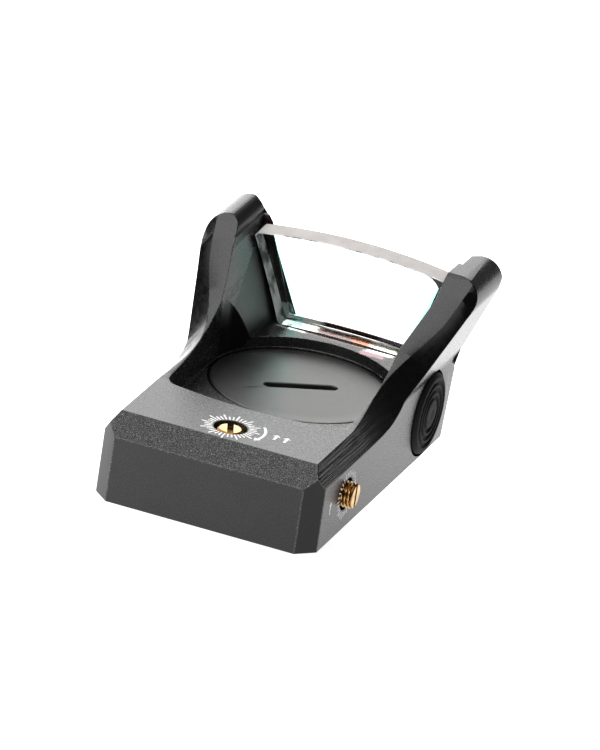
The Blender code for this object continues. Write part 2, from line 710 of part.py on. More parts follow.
def make_emitter(block_paint, led_paint, flex_paint):
    """The block that stands on the carriage's shelf, its emitter, and the film that feeds it."""
    on_axis = (0.0, WINDAGE_Y, WINDAGE_Z)
    solid("emitter_block", *block((-2.5, 9.3, 3.35), (2.5, 12.2, 9.2)), block_paint, origin=on_axis)
    solid("led_emitter", *block((-0.9, 12.3, 8.3), (0.9, 12.55, 9.5)), led_paint, origin=on_axis)
    left, fold, low, top, thick = -5.6, -3.35, 2.1, 7.8, 0.15
    strip = [(left, low), (fold, low), (fold, top), (fold - thick, top), (fold - thick, low + thick),
             (left, low + thick)]
    solid("emitter_flex", *prism_y(strip, 9.35, 9.95), flex_paint)


def make_windage(brass, steel):
    """The screw in the right side, the tip that pushes the emitter's block, and the spring opposite."""
    end, y, z = WINDAGE_END_X, WINDAGE_Y, WINDAGE_Z
    axis = (0.0, y, z)
    profile = [(0.45, 3.5), (0.5, 3.6), (0.5, 4.4), (0.8, 4.5), (0.8, 7.4)] + threaded_profile(7.5, end - 0.2)
    profile += [(ADJUSTER_RADIUS - 0.35, end)]
    screw = solid("windage_screw", *turned(profile, axis, "x", FINE_SIDES), brass,
                  origin=(end, y, z), smooth=40)
    cut(screw, "cut_windage_slot", block((end - 0.8, y - WINDAGE_SLOT_HALF, z - 3.0),
                                         (end + 1.0, y + WINDAGE_SLOT_HALF, z + 3.0)))

    foot = [(0.7, 2.8), (0.85, 2.95), (0.85, 4.15), (0.65, 4.15), (0.65, 3.3)]
    solid("windage_foot", *turned(foot, axis, "x", FINE_SIDES), brass, origin=(foot[0][1], y, z), smooth=40)

    points, faces = coil((y, z), 0.75, -6.95, -3.15, 4.0, 0.13)
    solid("windage_spring", [(x, y, z) for y, z, x in points], faces, steel, smooth=60)


# ---------------------------------------------------------------- button


def make_button(rubber, plastic):
    """A rubber button with concentric ridges, and the plunger between it and the switch."""
    axis = (0.0, BUTTON_Y, BUTTON_Z)
    face = (HALF_WIDTH, BUTTON_Y, BUTTON_Z)
    top = HALF_WIDTH + BUTTON_PROUD
    profile = [(BUTTON_RADIUS - 0.4, BUTTON_REAR_X), (BUTTON_RADIUS, BUTTON_REAR_X + 0.3),
               (BUTTON_RADIUS, top - 0.45), (BUTTON_RADIUS - 0.45, top - 0.05)]
    for radius in (4.3, 3.3, 2.3):
        groove = top - 0.3
        profile += [(radius + 0.2, top), (radius, groove), (radius - 0.25, groove), (radius - 0.45, top)]
    profile += [(0.9, top - 0.02)]
    solid("button_pad", *turned(profile, axis, "x"), rubber, origin=face, smooth=35)
    stem = [(0.8, 13.1), (1.0, 13.25), (1.0, 13.85)]
    solid("button_plunger", *turned(stem, axis, "x", FINE_SIDES), plastic, origin=face, smooth=40)


# ---------------------------------------------------------------- underside


def make_underside(plate_paint, rubber, steel):
    outer = rounded_rectangle(PLATE_HALF_WIDTH, *PLATE_Y, PLATE_CORNER)
    plate = solid("base_plate", *prism_z(outer, 0.0, PLATE_THICKNESS), plate_paint)
    head = [(2.0, -0.5), (2.0, 0.62), (SCREW_HOLE, 0.62), (SCREW_HOLE, PLATE_THICKNESS + 0.5)]
    for i, (x, y) in enumerate(BASE_SCREWS, 1):
        cut(plate, f"cut_head_{i}", turned(head, (x, y, 0.0), sides=FINE_SIDES))
    for i, (x, y) in enumerate(MOUNT_HOLES, 1):
        hole = cylinder((x, y, 0.0), MOUNT_HOLE + 0.2, -1.0, PLATE_THICKNESS + 1.0)
        cut(plate, f"cut_plate_mount_{i}", hole)

    w = GASKET_WIDTH
    inner = rounded_rectangle(PLATE_HALF_WIDTH - w, PLATE_Y[0] + w, PLATE_Y[1] - w, PLATE_CORNER - w)
    low, high = PLATE_THICKNESS + 0.1, RECESS_Z - 0.1
    rings = [[(*o, low), (*i, low), (*i, high), (*o, high)] for o, i in zip(outer, inner)]
    solid("base_gasket", *looped(rings), rubber)

    profile = [(1.45, 0.05), (1.65, 0.2), (1.65, 0.45), (0.8, 0.45), (0.8, 4.0), (0.55, 4.25)]
    for i, (x, y) in enumerate(BASE_SCREWS, 1):
        centre = (x, y, 0.0)
        screw = solid(f"base_screw_{i}", *turned(profile, centre, sides=SCREW_SIDES), steel, smooth=40)
        cut(screw, f"cut_drive_{i}", cylinder(centre, 0.6, -0.5, 0.3, sides=6))


def main():
    for old in list(bpy.data.objects):
        bpy.data.objects.remove(old)
    anodised = material("anodised_black", (0.03, 0.03, 0.032), 0.45, 0.6)
    brass = material("brass", (0.78, 0.52, 0.2), 0.3, 1.0)
    steel = material("steel", (0.6, 0.6, 0.62), 0.3, 1.0)
    rubber = material("black_rubber", (0.02, 0.02, 0.02), 0.75)
    glass = material("lens_glass", (0.95, 0.9, 0.88), 0.02, 0.0, 1.0)
    board = material("board_green", (0.02, 0.16, 0.08), 0.5)
    chip = material("chip_black", (0.02, 0.02, 0.02), 0.5)
    plastic = material("black_plastic", (0.04, 0.04, 0.04), 0.5)
    cell = material("cell_steel", (0.72, 0.72, 0.7), 0.3, 1.0)
    led = material("led", (0.8, 0.1, 0.05), 0.3)
    flex = material("flex_amber", (0.6, 0.3, 0.05), 0.5)

    make_housing(anodised)
    make_lens(glass)
    make_lens_seal(rubber)
    make_cap(anodised, rubber, steel)
    make_cell(cell, steel)
    make_electronics(board, chip, steel, glass)
    make_elevation(brass, steel)
    make_emitter(plastic, led, flex)
    make_windage(brass, steel)
    make_button(rubber, plastic)
    make_underside(anodised, rubber, steel)


main()
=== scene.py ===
"""Looks for the miniature open reflex sight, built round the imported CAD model.

Lengths are written in millimetres, and Y is written as the distance ahead of the housing's rear face.
place() turns both into the model's frame in metres.
"""

import math

import bmesh
import bpy
from mathutils import Matrix, Vector
from mathutils.bvhtree import BVHTree


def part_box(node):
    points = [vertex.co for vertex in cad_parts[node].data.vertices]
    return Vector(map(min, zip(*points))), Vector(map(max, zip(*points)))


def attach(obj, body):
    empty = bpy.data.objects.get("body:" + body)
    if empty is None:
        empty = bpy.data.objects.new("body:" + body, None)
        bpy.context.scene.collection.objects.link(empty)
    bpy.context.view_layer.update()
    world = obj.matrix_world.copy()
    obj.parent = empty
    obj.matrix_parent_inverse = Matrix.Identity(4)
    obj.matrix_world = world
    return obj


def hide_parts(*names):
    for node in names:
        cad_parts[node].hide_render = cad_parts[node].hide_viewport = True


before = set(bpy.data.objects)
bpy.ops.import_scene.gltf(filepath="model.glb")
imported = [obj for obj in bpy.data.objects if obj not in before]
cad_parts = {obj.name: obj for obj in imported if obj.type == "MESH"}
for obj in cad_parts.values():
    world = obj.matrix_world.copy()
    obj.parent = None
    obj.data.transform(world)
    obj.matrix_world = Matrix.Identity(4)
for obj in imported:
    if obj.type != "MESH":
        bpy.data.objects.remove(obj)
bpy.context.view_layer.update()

MM = 0.001
REAR_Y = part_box("housing")[0].y  # the housing's rear face, in metres
REAR = REAR_Y / MM  # and in the shaders' millimetres


def extent(node):
    """The lowest corner, the middle and the highest corner of a CAD node, in this script's millimetres."""
    origin = (0.0, REAR_Y, 0.0)
    low, high = [[round((c - start) / MM, 3) for c, start in zip(corner, origin)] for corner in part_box(node)]
    middle = [(a + b) / 2 for a, b in zip(low, high)]
    return low, middle, high


# The housing
DECK_Z = 11.5
SIDE_X = 15.0

# The battery cap
CAP_LOW, CAP_MIDDLE, CAP_HIGH = extent("battery_cap")
CELL_Y = CAP_MIDDLE[1]
CAP_BOTTOM_Z = CAP_LOW[2]
CAP_TOP_Z = CAP_HIGH[2]
CAP_RADIUS = CAP_HIGH[0]
CAP_SKIRT_Z = 7.0
CAP_HOLLOW = (10.35, 6.25)  # radius, height of its ceiling
CAP_PLUG = (10.7, 11.0, 6.4)  # radius of its neck and of its foot, height between them
CAP_RIM = (0.6, 0.04)  # width, height above the face
COIN_SLOT = (9.6, 1.5, 0.9)  # length, width, depth
COIN_SLOT_TURN = math.radians(31.5)

# The two adjusters, each from the outer end of its axis
_, ELEVATION_MIDDLE, ELEVATION_HIGH = extent("elevation_screw")
ELEVATION = (ELEVATION_MIDDLE[0], ELEVATION_MIDDLE[1], ELEVATION_HIGH[2])
ELEVATION_SLOT = (0.42, 0.75)  # half its width, depth
ELEVATION_SLOT_TURN = math.radians(20.0)
_, WINDAGE_MIDDLE, WINDAGE_HIGH = extent("windage_screw")
WINDAGE = (WINDAGE_HIGH[0], WINDAGE_MIDDLE[1], WINDAGE_MIDDLE[2])
WINDAGE_SLOT = (0.3, 0.8)  # half its width, depth
SCREW_RADIUS = ELEVATION_HIGH[0]
SCREW_PITCH = 0.45
THREAD_DEPTH = 0.28

# The button, from its middle in the housing's side
BUTTON_LOW, BUTTON_MIDDLE, BUTTON_HIGH = extent("button_pad")
BUTTON = (SIDE_X, BUTTON_MIDDLE[1], BUTTON_MIDDLE[2])
BUTTON_RADIUS = BUTTON_HIGH[1] - BUTTON_MIDDLE[1]
BUTTON_PROUD = BUTTON_HIGH[0] - SIDE_X
BUTTON_REAR = BUTTON_LOW[0] - SIDE_X
BUTTON_GROOVES = (4.35, 3.35, 2.35)  # outer radii of the ring grooves
BUTTON_GROOVE = (0.3, 0.32)  # width, depth

# The lens
LENS_TILT = math.radians(4.7)
LENS_SPHERE = 80.0
LENS_THICKNESS = 3.1
LENS_BOTTOM_Z = 9.0
LENS_TOP_Z = 21.4
LENS_AXIS = (48.55, 15.2)  # where the rear surface crosses the lens's own axis, as (y, z)
LENS_ARCH = 0.6
LENS_HALF_BOTTOM = 9.3
LENS_HALF_TOP = extent("reflex_lens")[2][0]
LENS_BEVEL = 0.12  # of the rim's edges
LENS_CORNER = 0.4


# ---------------------------------------------------------------- nodes


def place(point):
    x, y, z = point
    return Vector((x * MM, REAR_Y + y * MM, z * MM))


class Look:
    """A material with a Principled shader, and short calls for the nodes that feed it.

    Its point is the place on the object in millimetres, in the model's frame.
    """

    def __init__(self, name, colour, roughness, metallic=0.0, **sockets):
        self.material = bpy.data.materials.new(name)
        self.material.use_nodes = True
        self.tree = self.material.node_tree
        self.shader = self.tree.nodes["Principled BSDF"]
        self.set("Base Color", (*colour, 1.0))
        self.set("Roughness", roughness)
        self.set("Metallic", metallic)
        for socket, value in sockets.items():
            self.set(socket.replace("_", " "), value)
        coordinates = self.tree.nodes.new("ShaderNodeTexCoord")
        self.point = self.node("ShaderNodeMapping", Vector=coordinates.outputs["Object"],
                               Scale=(1000.0, 1000.0, 1000.0)).outputs["Vector"]

    def set(self, socket, value):
        self.shader.inputs[socket].default_value = value

    def link(self, value, socket):
        """Feeds an input socket from an output, or sets it to a number or colour."""
        if isinstance(value, bpy.types.NodeSocket):
            self.tree.links.new(value, socket)
        else:
            socket.default_value = value

    def node(self, kind, **inputs):
        made = self.tree.nodes.new(kind)
        for name, value in inputs.items():
            self.link(value, made.inputs[name.replace("_", " ")])
        return made

    def noise(self, scale, detail=2.0, point=None, roughness=0.5):
        """Noise from 0 to 1 whose blobs are about 1/scale millimetres across."""
        return self.node("ShaderNodeTexNoise", Vector=point or self.point, Scale=scale,
                         Detail=detail, Roughness=roughness).outputs["Fac"]

    def stretched(self, scale):
        """The coordinates with each axis scaled, for lines and streaks."""
        return self.node("ShaderNodeMapping", Vector=self.point, Scale=scale).outputs["Vector"]

    def spread(self, value, low, high, to_low=0.0, to_high=1.0):
        """value moved from low..high to to_low..to_high, and held between those ends."""
        made = self.node("ShaderNodeMapRange", Value=value, From_Min=low, From_Max=high,
                         To_Min=to_low, To_Max=to_high)
        return made.outputs["Result"]

    def maths(self, operation, a, b=0.0):
        made = self.tree.nodes.new("ShaderNodeMath")
        made.operation = operation
        self.link(a, made.inputs[0])
        self.link(b, made.inputs[1])
        return made.outputs[0]

    def mix(self, factor, a, b):
        made = self.tree.nodes.new("ShaderNodeMix")
        made.data_type = "RGBA"
        self.link(factor, made.inputs[0])
        self.link(a if isinstance(a, bpy.types.NodeSocket) else (*a, 1.0), made.inputs[6])
        self.link(b if isinstance(b, bpy.types.NodeSocket) else (*b, 1.0), made.inputs[7])
        return made.outputs[2]

    def bands(self, along, colour, *changes):
        """A colour that changes along a value; each change is its start, its end and the new colour."""
        for start, end, next_colour in changes:
            colour = self.mix(self.spread(along, start, end), colour, next_colour)
        return colour

    def feed(self, socket, value):
        self.tree.links.new(value, self.shader.inputs[socket])

    def colour(self, value):
        self.feed("Base Color", value)

    def rough(self, value):
        self.feed("Roughness", value)

    def places(self):
        """The point's X, Y and Z as separate outputs."""
        return self.node("ShaderNodeSeparateXYZ", Vector=self.point).outputs

    def bump(self, height, depth, strength=1.0):
        """Relief of the given depth in millimetres, on top of any relief already there."""
        made = self.node("ShaderNodeBump", Height=height, Distance=depth * MM, Strength=strength)
        before = self.shader.inputs["Normal"]
        if before.is_linked:
            self.tree.links.new(before.links[0].from_socket, made.inputs["Normal"])
        self.tree.links.new(made.outputs["Normal"], before)


# ---------------------------------------------------------------- materials


def anodised(name, tone=0.007, roughness=0.27, grain=0.014, grain_scale=4.2, speckle=0.0, specular=0.5):
    """Bead-blasted metal, anodised black: small dents, soft mottling and a few bright grains."""
    look = Look(name, (tone, tone, tone), roughness, Specular_IOR_Level=specular)
    mottling = look.noise(0.35, 3.0)
    grains = look.noise(grain_scale, 3.0, roughness=0.65)
    fine = look.noise(grain_scale * 3.1, 1.0)
    shade = look.maths("ADD", look.maths("MULTIPLY", mottling, 0.4), look.maths("MULTIPLY", grains, 0.6))
    dark = (tone * 0.6, tone * 0.6, tone * 0.62)
    light = (tone * 1.5, tone * 1.48, tone * 1.45)
    body = look.mix(look.spread(shade, 0.35, 0.65), dark, light)
    if speckle:
        specks = look.spread(look.noise(grain_scale * 1.6, 2.0, roughness=0.6), 0.52, 0.64)
        body = look.mix(look.maths("MULTIPLY", specks, speckle), body, (0.18, 0.18, 0.18))
    look.colour(body)
    look.rough(look.spread(grains, 0.3, 0.7, roughness - 0.07, roughness + 0.07))
    look.bump(grains, grain)
    look.bump(fine, grain * 0.35)
    return look.material


def milled(name, tone=0.003, roughness=0.2, specular=0.2):
    """Anodised metal with the fine lines that a cutter left along the fin."""
    look = Look(name, (tone, tone, tone), roughness, Specular_IOR_Level=specular)
    lines = look.noise(1.0, 2.0, look.stretched((5.6, 0.1, 5.6)))
    coarse = look.noise(1.0, 1.0, look.stretched((1.6, 0.05, 1.6)))
    grains = look.noise(6.0, 2.0)
    deep = look.spread(look.places()["Y"], REAR + 10.0, REAR + 22.0, 1.0, 0.08)
    tint = look.maths("MULTIPLY", look.spread(lines, 0.42, 0.58), deep)
    look.colour(look.mix(tint, (tone * 0.3,) * 3, (tone * 3.5,) * 3))
    look.rough(look.spread(coarse, 0.35, 0.65, roughness - 0.03, roughness + 0.08))
    look.bump(look.maths("MULTIPLY", lines, deep), 0.07)
    look.bump(grains, 0.006)
    return look.material


def turned_metal(name, centre, tone=0.007, roughness=0.27, specular=0.5):
    """Anodised metal faced on a lathe: fine rings about an upright axis through centre, over a soft sheen."""
    # The warm specular tint is a painted reflection: it stands for the lens's pink reflected in the cap.
    look = Look(name, (tone, tone, tone), roughness, Specular_IOR_Level=specular,
                Specular_Tint=(1.0, 0.955, 0.94, 1.0))
    offset = look.node("ShaderNodeVectorMath", Vector=look.point)
    offset.operation = "SUBTRACT"
    offset.inputs[1].default_value = place(centre) / MM
    flat = look.node("ShaderNodeVectorMath", Vector=offset.outputs["Vector"])
    flat.operation = "MULTIPLY"
    flat.inputs[1].default_value = (1.0, 1.0, 0.0)
    radius = look.node("ShaderNodeVectorMath", Vector=flat.outputs["Vector"])
    radius.operation = "LENGTH"
    at_radius = look.node("ShaderNodeCombineXYZ", X=radius.outputs["Value"]).outputs["Vector"]
    rings = look.noise(6.0, 3.0, at_radius, roughness=0.7)
    wide = look.noise(0.9, 2.0, at_radius)
    grains = look.noise(5.0, 2.0)
    shade = look.maths("ADD", look.maths("MULTIPLY", rings, 0.15), look.maths("MULTIPLY", grains, 0.85))
    look.colour(look.mix(look.spread(shade, 0.35, 0.65), (tone * 0.7,) * 3, (tone * 1.5,) * 3))
    look.rough(look.spread(wide, 0.3, 0.7, roughness - 0.01, roughness + 0.02))
    look.bump(rings, 0.0001)
    look.bump(grains, 0.007)
    return look.material


def metal(name, colour, roughness, wear=0.25, streak=(6.0, 6.0, 1.0), grain=0.003):
    """Bare metal: tone and gloss vary, with fine streaks from its machining and darker stains."""
    look = Look(name, colour, roughness, 1.0)
    streaks = look.noise(1.0, 3.0, look.stretched(streak))
    stains = look.noise(0.8, 3.0)
    dull = tuple(c ** (1.0 + wear) * (1.0 - wear) for c in colour)
    look.colour(look.mix(look.spread(stains, 0.4, 0.65), colour, dull))
    look.rough(look.spread(streaks, 0.3, 0.7, roughness - 0.06, roughness + 0.12))
    look.bump(streaks, grain)
    return look.material


def rubber(name, tone=0.009, roughness=0.5):
    """Moulded rubber: matt, a little dusty in patches, with a fine pebble."""
    look = Look(name, (tone,) * 3, roughness, Specular_IOR_Level=0.1)
    dust = look.noise(0.5, 4.0)
    pebble = look.noise(9.0, 2.0)
    look.colour(look.mix(look.spread(dust, 0.35, 0.75), (tone,) * 3, (tone * 2.0, tone * 1.95, tone * 1.9)))
    look.rough(look.spread(pebble, 0.3, 0.7, roughness - 0.08, roughness + 0.1))
    look.bump(pebble, 0.008)
    return look.material


def plastic(name, colour, roughness=0.4, grain=0.004):
    """Moulded plastic or coated board: an even colour with faint flow marks and a fine skin."""
    look = Look(name, colour, roughness)
    flow = look.noise(0.6, 2.0, look.stretched((1.0, 3.0, 1.0)))
    skin = look.noise(8.0, 2.0)
    dark = tuple(c * 0.8 for c in colour)
    look.colour(look.mix(look.spread(flow, 0.35, 0.65), dark, colour))
    look.rough(look.spread(skin, 0.3, 0.7, roughness - 0.06, roughness + 0.08))
    look.bump(skin, grain)
    return look.material


def ink(name):
    """White index paint, thin and a little worn, so that the black shows through here and there."""
    look = Look(name, (0.8, 0.8, 0.8), 0.5)
    worn = look.noise(5.0, 3.0)
    look.colour(look.mix(look.spread(worn, 0.3, 0.48), (0.35, 0.35, 0.36), (0.88, 0.88, 0.86)))
    look.bump(worn, 0.01)
    return look.material


def polished_glass(name, fringe=None):
    """The lens's two surfaces: clear glass whose coating returns a faint tint, with a trace of dust.

    fringe is the colour that the coating takes in a narrow band at the clear area's two sides.
    """
    clear = (0.97, 1.0, 0.985)
    look = Look(name, clear, 0.0, Transmission_Weight=1.0, IOR=1.5, Thin_Film_Thickness=320.0,
                Thin_Film_IOR=1.38)
    dust = look.noise(1.4, 4.0, roughness=0.7)
    look.rough(look.spread(dust, 0.6, 0.9, 0.0, 0.06))
    if fringe:
        place_of = look.places()
        half = look.spread(place_of["Z"], 10.3, 21.0, 7.5, 11.55)
        across = look.maths("ABSOLUTE", look.maths("SUBTRACT", place_of["X"], 0.6))
        beyond = look.maths("SUBTRACT", across, half)
        begins = look.spread(beyond, -0.35, -0.05)
        fades = look.spread(beyond, 0.1, 0.5, 1.0, 0.15)
        look.colour(look.mix(look.maths("MULTIPLY", begins, fades), clear, fringe))
    return look.material


def lens_foot(name):
    """The lens's foot: mirror-like metal with painted reflections, bands of dark red, orange and pale colour
    across it that stand for the cap and pocket reflected in the coating.
    """
    look = Look(name, (0.9, 0.9, 0.88), 0.12, 1.0)
    uneven = look.maths("MULTIPLY", look.noise(0.6, 3.0), 1.6)
    along = look.maths("ADD", look.places()["X"], look.maths("SUBTRACT", uneven, 0.8))
    # painted reflection: these bands of colour stand for the cap and pocket reflected in the lens's foot
    look.colour(look.bands(along, (0.9, 0.92, 0.88), (-4.8, -4.0, (0.13, 0.06, 0.055)),
                           (0.2, 1.4, (0.42, 0.13, 0.05)), (2.9, 3.9, (0.9, 0.86, 0.82)),
                           (6.6, 7.4, (0.2, 0.1, 0.1))))
    look.rough(look.spread(look.noise(3.0, 2.0), 0.3, 0.7, 0.08, 0.22))
    look.bump(look.noise(0.9, 2.0), 0.02)
    return look.material


def seat_lip(name):
    """The lips the lens rests on: dark, but at the foot a painted reflection, metallic, silvery to the left
    and brown to the right.
    """
    look = Look(name, (0.9, 0.9, 0.88), 0.3, 1.0)
    place_of = look.places()
    uneven = look.maths("MULTIPLY", look.noise(0.8, 3.0), 1.2)
    along = look.maths("ADD", place_of["X"], look.maths("SUBTRACT", uneven, 0.6))
    # painted reflection: the foot's silvery and brown bands stand for what is reflected there
    tint = look.bands(along, (0.9, 0.92, 0.9), (-4.2, -3.4, (0.1, 0.05, 0.045)),
                      (0.0, 2.0, (0.03, 0.018, 0.012)))
    foot = look.spread(place_of["Z"], 11.0, 11.5, 1.0, 0.0)
    look.colour(look.mix(foot, (0.014, 0.005, 0.005), tint))
    look.feed("Metallic", foot)
    look.rough(look.spread(look.noise(3.0, 2.0), 0.3, 0.7, 0.25, 0.4))
    look.bump(look.noise(0.9, 2.0), 0.02)
    return look.material


# Painted reflections on the channel's floor, not cement: patches whose colours stand for the white background
# and the lens coating's colours reflected there; left and right end, nearest and farthest before the lens's
# foot, colour
PAINTED_REFLECTION_PATCHES = (
    (3.6, 7.4, -1.0, 3.0, (0.85, 0.84, 0.8)),
    (3.4, 6.8, 3.0, 4.3, (0.24, 0.13, 0.15)),
    (-4.6, 1.2, -1.0, 2.4, (0.12, 0.06, 0.055)),
    (-8.4, -4.6, -1.0, 2.6, (0.8, 0.82, 0.8)),
    (1.2, 3.6, -1.0, 2.2, (0.4, 0.14, 0.06)),
)


def ledge(name, tone=0.006):
    """The channel's floor: anodised, with painted reflections in front of the lens's foot: bright and coloured
    patches, metallic and smoother.
    """
    look = Look(name, (tone,) * 3, 0.25, Specular_IOR_Level=0.35)
    place_of = look.places()
    uneven = look.maths("MULTIPLY", look.maths("SUBTRACT", look.noise(0.7, 3.0), 0.5), 1.6)
    x = look.maths("ADD", place_of["X"], uneven)
    y = look.maths("ADD", place_of["Y"], look.maths("MULTIPLY", uneven, 0.35))
    foot = REAR + 48.9

    def window(value, low, high, blur):
        """1 from low to high, and 0 outside."""
        rises = look.spread(value, low - blur, low + blur)
        falls = look.spread(value, high - blur, high + blur, 1.0, 0.0)
        return look.maths("MULTIPLY", rises, falls)

    grains = look.noise(4.2, 3.0, roughness=0.65)
    body = look.mix(look.spread(grains, 0.35, 0.65), (tone * 0.6,) * 3, (tone * 1.5,) * 3)
    painted_reflection_mask = 0.0
    # painted reflection: each patch's colour, made metallic and smoother, stands for what the floor reflects
    for left, right, near, far, cement_and_painted_reflection in PAINTED_REFLECTION_PATCHES:
        reflection_patch = look.maths("MULTIPLY", window(x, left, right, 0.3), window(y, foot - far, foot - near, 0.2))
        body = look.mix(reflection_patch, body, cement_and_painted_reflection)
        painted_reflection_mask = look.maths("MAXIMUM", painted_reflection_mask, reflection_patch)
    look.colour(body)
    look.feed("Metallic", painted_reflection_mask)
    look.rough(look.spread(painted_reflection_mask, 0.0, 1.0, 0.27, 0.16))
    look.bump(grains, 0.006)
    return look.material


def ground_glass(name, light, dark):
    """The lens's rim: ground, so it scatters light instead of passing it."""
    look = Look(name, light, 0.62, Transmission_Weight=0.1, IOR=1.5)
    grit = look.noise(7.0, 3.0, roughness=0.7)
    chips = look.noise(0.45, 3.0)
    look.colour(look.mix(look.spread(chips, 0.4, 0.62), light, dark))
    look.rough(look.spread(grit, 0.3, 0.7, 0.5, 0.72))
    look.bump(grit, 0.01)
    return look.material


# ---------------------------------------------------------------- shapes


def spread(low, high, count):
    return [low + (high - low) * i / count for i in range(count + 1)]


def arc(centre, radius, start, end, count):
    """Points along an arc between two angles in degrees."""
    angles = [math.radians(a) for a in spread(start, end, count)]
    return [(centre[0] + radius * math.cos(a), centre[1] + radius * math.sin(a)) for a in angles]


def strip(rings, capped=True):
    """Points and faces of a surface through rings of equal length."""
    count = len(rings[0])
    points = [p for ring in rings for p in ring]
    faces = []
    for k in range(len(rings) - 1):
        near, far = k * count, (k + 1) * count
        for i in range(count):
            j = (i + 1) % count
            faces.append([near + i, near + j, far + j, far + i])
    if capped:
        last = (len(rings) - 1) * count
        faces.append(list(reversed(range(count))))
        faces.append([last + i for i in range(count)])
    return points, faces


def round_point(centre, axis, along, radius, angle):
    """A point round the axis through centre, at a distance along it."""
    c, s = radius * math.cos(angle), radius * math.sin(angle)
    if axis == "z":
        return (centre[0] + c, centre[1] + s, centre[2] + along)
    return (centre[0] + along, centre[1] + c, centre[2] + s)


def turn(profile, centre, axis="z", sides=128):
    """The rings of a (radius, distance) profile turned about the axis through centre."""
    angles = [2 * math.pi * i / sides for i in range(sides)]
    return [[round_point(centre, axis, along, radius, a) for a in angles] for radius, along in profile]


def rounded(profile, radius, steps=4):
    """A (radius, distance) profile with its inner corners rounded."""
    made = [profile[0]]
    for before, corner, after in zip(profile, profile[1:], profile[2:]):
        corner = Vector(corner)
        back, ahead = Vector(before) - corner, Vector(after) - corner
        reach = min(radius, back.length / 2, ahead.length / 2)
        start, end = corner + back.normalized() * reach, corner + ahead.normalized() * reach
        for t in spread(0.0, 1.0, steps):
            point = start.lerp(corner, t).lerp(corner.lerp(end, t), t)
            made.append((point.x, point.y))
    made.append(profile[-1])
    return made


def mesh_from(name, points, faces):
    """A mesh from points in millimetres, its normals turned outward."""
    mesh = bpy.data.meshes.new(name)
    mesh.from_pydata([place(p) for p in points], [], faces)
    work = bmesh.new()
    work.from_mesh(mesh)
    bmesh.ops.recalc_face_normals(work, faces=work.faces)
    work.to_mesh(mesh)
    work.free()
    return mesh


def piece(name, body, mesh, materials, replaces=(), smooth=32.0):
    """An object that rides on a body, in place of the named CAD nodes."""
    made = bpy.data.objects.new(name, mesh)
    bpy.context.scene.collection.objects.link(made)
    for material in materials:
        mesh.materials.append(material)
    mesh.shade_smooth()
    mesh.set_sharp_from_angle(angle=math.radians(smooth))
    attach(made, body)
    if replaces:
        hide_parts(*replaces)
    return made


def carve(mesh, points, faces):
    """The mesh with a cutter's volume taken away."""
    target = bpy.data.objects.new("carved", mesh)
    cutter = bpy.data.objects.new("cutter", mesh_from("cutter", points, faces))
    bpy.context.scene.collection.objects.link(target)
    bpy.context.scene.collection.objects.link(cutter)
    step = target.modifiers.new("carve", "BOOLEAN")
    step.operation = "DIFFERENCE"
    step.solver = "EXACT"
    step.object = cutter
    bpy.context.view_layer.update()
    shown = target.evaluated_get(bpy.context.evaluated_depsgraph_get())
    carved = bpy.data.meshes.new_from_object(shown)
    bpy.data.objects.remove(target)
    bpy.data.objects.remove(cutter)
    return carved


def soften(mesh, width, paint, paint_edge, angle=26.0, segments=2):
    """Welds a CAD mesh, rounds its sharp edges by width in millimetres and paints both kinds of face.

    A corner that the rounding throws further than its width is pulled back among its neighbours.
    """
    work = bmesh.new()
    work.from_mesh(mesh)
    bmesh.ops.remove_doubles(work, verts=work.verts, dist=0.002 * MM)
    surface = BVHTree.FromBMesh(work)
    for face in work.faces:
        face.material_index = paint(face)
    limit = math.radians(angle)
    sharp = [e for e in work.edges if e.is_manifold and e.calc_face_angle() > limit]
    cut = bmesh.ops.bevel(work, geom=sharp, offset=width * MM, offset_type="OFFSET", segments=segments,
                          profile=0.5, affect="EDGES", clamp_overlap=False, miter_outer="SHARP")
    for face in cut["faces"]:
        face.material_index = paint_edge(face)
    astray = {v for v in work.verts if surface.find_nearest(v.co)[3] > 1.2 * width * MM}
    for vert in astray:
        near = [e.other_vert(vert).co for e in vert.link_edges if e.other_vert(vert) not in astray]
        if near:
            vert.co = sum(near, Vector()) / len(near)
    made = bpy.data.meshes.new("softened")
    work.to_mesh(made)
    work.free()
    return made


# ---------------------------------------------------------------- housing

BLASTED, COARSE, MILLED, SMOOTH, WORN, SHADED, LEDGE, LIP, NOTCH_PAINTED_LIGHT = range(9)

HOUSING_BEVEL = 0.12

# Where the finishes are. X counts from the middle to either side.
REAR_TOP_CHAMFER_Y = 3.0  # behind this
REAR_CORNER_Y = 4.0  # behind this
WORN_Y = 3.5  # behind this
WORN_Z = (1.0, 10.6)
BAND_X = 12.3  # outside this
BAND_Z = 8.5  # above this
BAND_END_Y = 43.0
CHANNEL_Y = 34.0  # ahead of this
CHANNEL_Z = 9.5  # above this
CHANNEL_X = 16.5  # inside this
LIP_Y = 49.0  # ahead of this
LIP_X = 14.5  # inside this
LEDGE_Y = 42.0  # ahead of this
LEDGE_Z = (9.3, 9.9)
GROOVE_X = 14.2  # the groove of the front notch: outside this
GROOVE_Y = 47.4  # ahead of this
GROOVE_Z = (9.3, 12.3)
BELOW_POST_X = 13.0  # the post's underside at that notch: outside this
BELOW_POST_Y = 45.0  # ahead of this
BELOW_POST_Z = (7.5, 15.0)

# What rounding takes from the left horn's inner top edge
ROUNDED_FROM_Y = 40.0
ROUNDED_TO_Y = 56.0
ROUNDING_MIDDLE = (16.3, 22.4)  # x, z
ROUNDING_REACH = (2.13, 1.85)  # across, up
ROUNDING_OUTSIDE = (12.5, 25.2)  # x, z of a corner that is clear of the horn


